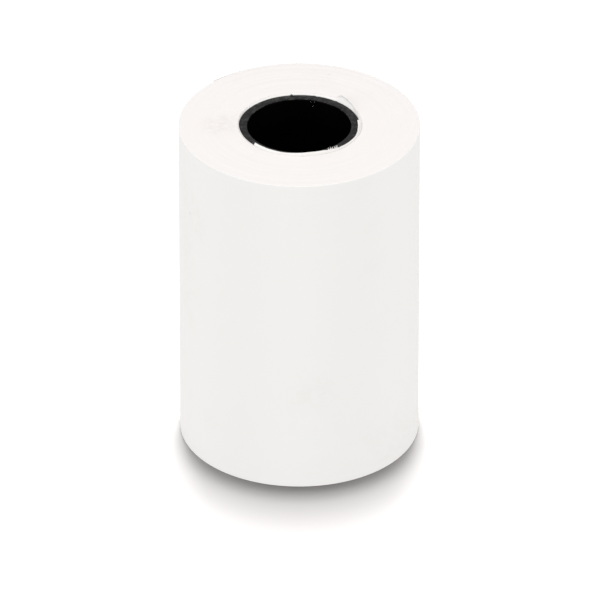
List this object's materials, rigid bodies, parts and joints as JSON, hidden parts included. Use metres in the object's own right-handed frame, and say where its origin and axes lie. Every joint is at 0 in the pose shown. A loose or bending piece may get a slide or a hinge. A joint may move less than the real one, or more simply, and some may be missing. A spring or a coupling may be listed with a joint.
{
  "type": "thermal paper roll",
  "caption": "Roll of white thermal paper wound on a black plastic core, standing on end, with a tail that lifts from its back.",
  "frame": {"origin": "centre of the end face that the roll stands on", "axes": "+Z along the roll's axis, away from the surface it stands on; the web winds outward counter-clockwise seen from +Z, and its tail is on the +Y half"},
  "size_m": [0.0392, 0.0393, 0.0575],
  "materials": {
    "core_plastic": "matte black moulded plastic, cut rim slightly lighter",
    "thermal_paper": "smooth matte white coated paper",
    "tail_glue": "dried translucent glue"
  },
  "bodies": {
    "roll": {"core": "core_plastic", "first_wraps": "thermal_paper", "wound_paper": "thermal_paper", "tail_glue": "tail_glue"},
    "tail": {"paper_tail": "thermal_paper"}
  },
  "joints": [
    {"name": "tail_lift", "type": "hinge", "parent": "roll", "child": "tail", "pos_m": [0.0098, 0.01705, 0.0285], "axis": [0, 0, -1], "range_deg": [0, 75], "stiffness_Nm_per_rad": 0.0002}
  ]
}
